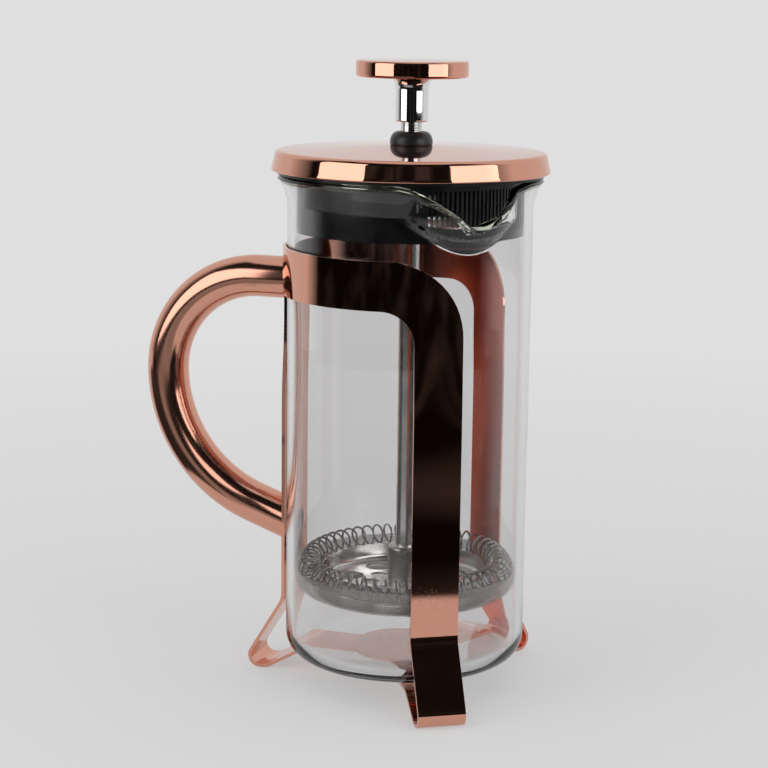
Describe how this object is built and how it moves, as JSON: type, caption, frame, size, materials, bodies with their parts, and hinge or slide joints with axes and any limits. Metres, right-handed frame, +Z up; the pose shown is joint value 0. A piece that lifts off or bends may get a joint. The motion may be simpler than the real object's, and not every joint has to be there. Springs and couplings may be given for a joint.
{
  "type": "french press",
  "caption": "Small french press: spouted glass beaker in a copper-plated leg stand with a tube handle, domed lid, and a knobbed plunger with a mesh filter and coil spring rim.",
  "frame": {"origin": "on the beaker's axis, in the plane the three feet stand on", "axes": "+Z up along the beaker's axis, -X towards the handle, the open side of the band towards +X"},
  "size_m": [0.1241, 0.0894, 0.1866],
  "materials": {
    "copper_plate": "mirror-polished rose copper plating on steel",
    "bright_steel": "bright zinc-plated steel",
    "clear_glass": "clear blown glass with a fire-polished rim",
    "black_gloss": "glossy black moulding",
    "black_satin": "satin black moulding",
    "chrome_plate": "polished chrome plating",
    "filter_steel": "bright pressed stainless steel",
    "woven_mesh": "fine woven stainless screen"
  },
  "bodies": {
    "stand": {"stand_frame": "copper_plate", "base_plate": "copper_plate", "base_rivets": "bright_steel", "handle_tube": "copper_plate", "handle_top_plug": "bright_steel", "handle_bottom_plug": "bright_steel", "handle_top_screw": "bright_steel", "handle_bottom_screw": "bright_steel"},
    "beaker": {"glass_beaker": "clear_glass"},
    "lid": {"lid_cover": "copper_plate", "lid_insert": "black_gloss", "guide_ball": "black_satin", "guide_nut": "bright_steel"},
    "plunger": {"knob_disc": "copper_plate", "knob_neck": "chrome_plate", "plunger_rod": "filter_steel", "filter_hub": "chrome_plate", "spring_plate": "filter_steel", "coil_spring": "filter_steel", "filter_spacer": "filter_steel", "mesh_screen": "woven_mesh", "cross_plate": "filter_steel", "filter_nut": "bright_steel"}
  },
  "joints": [
    {"name": "beaker_turn", "type": "hinge", "parent": "stand", "child": "beaker", "pos_m": [0, 0, 0.0082], "axis": [0, 0, 1], "continuous": true},
    {"name": "lid_lift", "type": "slide", "parent": "beaker", "child": "lid", "axis": [0, 0, 1], "range_m": [0, 0.135]},
    {"name": "plunger_slide", "type": "slide", "parent": "lid", "child": "plunger", "axis": [0, 0, 1], "range_m": [-0.0025, 0.097]}
  ]
}
